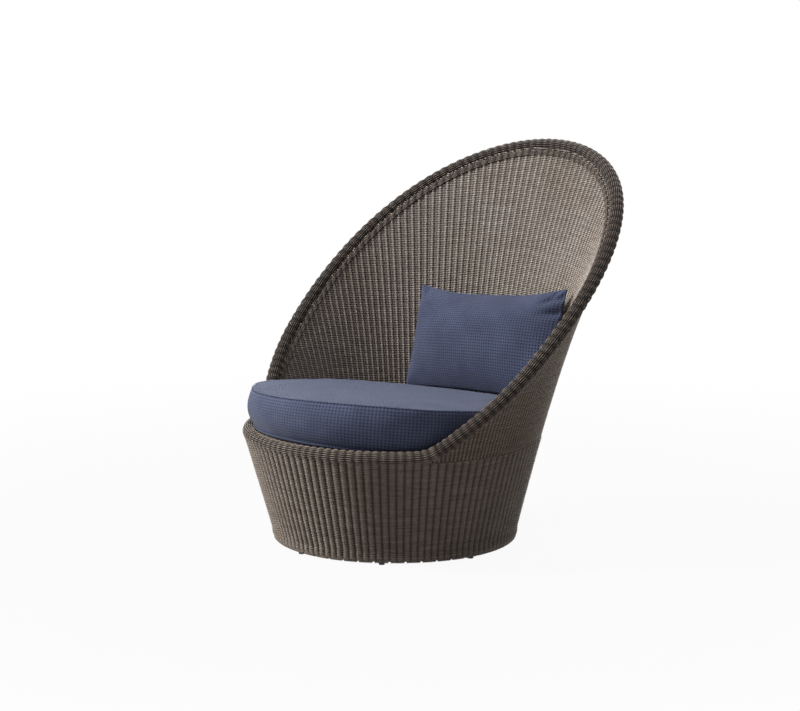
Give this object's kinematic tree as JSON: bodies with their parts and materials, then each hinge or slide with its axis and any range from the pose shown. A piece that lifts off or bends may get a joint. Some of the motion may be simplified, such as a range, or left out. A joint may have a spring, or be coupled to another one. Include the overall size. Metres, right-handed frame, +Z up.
{
  "type": "woven tub lounge chair",
  "caption": "Round woven outdoor lounge chair: flared drum base rising into a tall slanted scoop back, with a round seat cushion and a lumbar pillow.",
  "frame": {"origin": "middle of the whole chair's bounding box, on the floor, under the rest face", "axes": "+Z up; -Y is the front, the way the sitter faces; +X to the sitter's left; millimetres in the source, metres here"},
  "size_m": [1.0774, 1.0242, 1.0581],
  "materials": {
    "frame_tube": "satin powder coat, dark brown",
    "glide": "matt",
    "weave": "fine round synthetic strand, satin",
    "weave_inner": "fine round synthetic strand, satin",
    "weave_rim": "fine round synthetic strand, satin",
    "cushion_fabric": "coarse basket weave, blue grey",
    "pillow_fabric": "coarse basket weave, dark blue",
    "foam": "soft",
    "zip_tape": "matt",
    "zip_metal": "satin"
  },
  "bodies": {
    "chair": {"base_ring": "frame_tube", "front_uprights": "frame_tube", "side_uprights": "frame_tube", "back_uprights": "frame_tube", "front_rim_tube": "frame_tube", "back_rim_tube": "frame_tube", "seat_ring": "frame_tube", "seat_lugs": "frame_tube", "seat_crossbars": "frame_tube", "floor_glides": "glide", "base_weave": "weave", "back_weave": "weave", "back_lining": "weave_inner", "front_rim_binding": "weave_rim", "back_rim_binding": "weave_rim", "base_binding": "weave_rim", "seat_deck": "weave_inner", "seat_ring_binding": "weave_inner"},
    "seat_cushion": {"cushion_top_panel": "cushion_fabric", "cushion_side_band": "cushion_fabric", "cushion_bottom_panel": "cushion_fabric", "cushion_core": "foam", "cushion_zip_tape": "zip_tape"},
    "cushion_zip": {"cushion_zip_slider": "zip_metal"},
    "pillow": {"pillow_front_cover": "pillow_fabric", "pillow_back_cover": "pillow_fabric", "pillow_filling": "foam", "pillow_zip_tape": "zip_tape"},
    "pillow_zip": {"pillow_zip_slider": "zip_metal"}
  },
  "joints": [
    {"name": "cushion_lift", "type": "slide", "parent": "chair", "child": "seat_cushion", "axis": [0, 0, 1], "range_m": [0, 0.85]},
    {"name": "pillow_lift", "type": "slide", "parent": "seat_cushion", "child": "pillow", "axis": [0, 0, 1], "range_m": [0, 0.75]},
    {"name": "cushion_zip_slide", "type": "hinge", "parent": "seat_cushion", "child": "cushion_zip", "pos_m": [0, -0.12187, 0.27056], "axis": [0, 0.1063, 0.9943], "range_deg": [-76, 0]},
    {"name": "pillow_zip_slide", "type": "slide", "parent": "pillow", "child": "pillow_zip", "axis": [0.9978, 0.0199, 0.0632], "range_m": [-0.38, 0]}
  ]
}
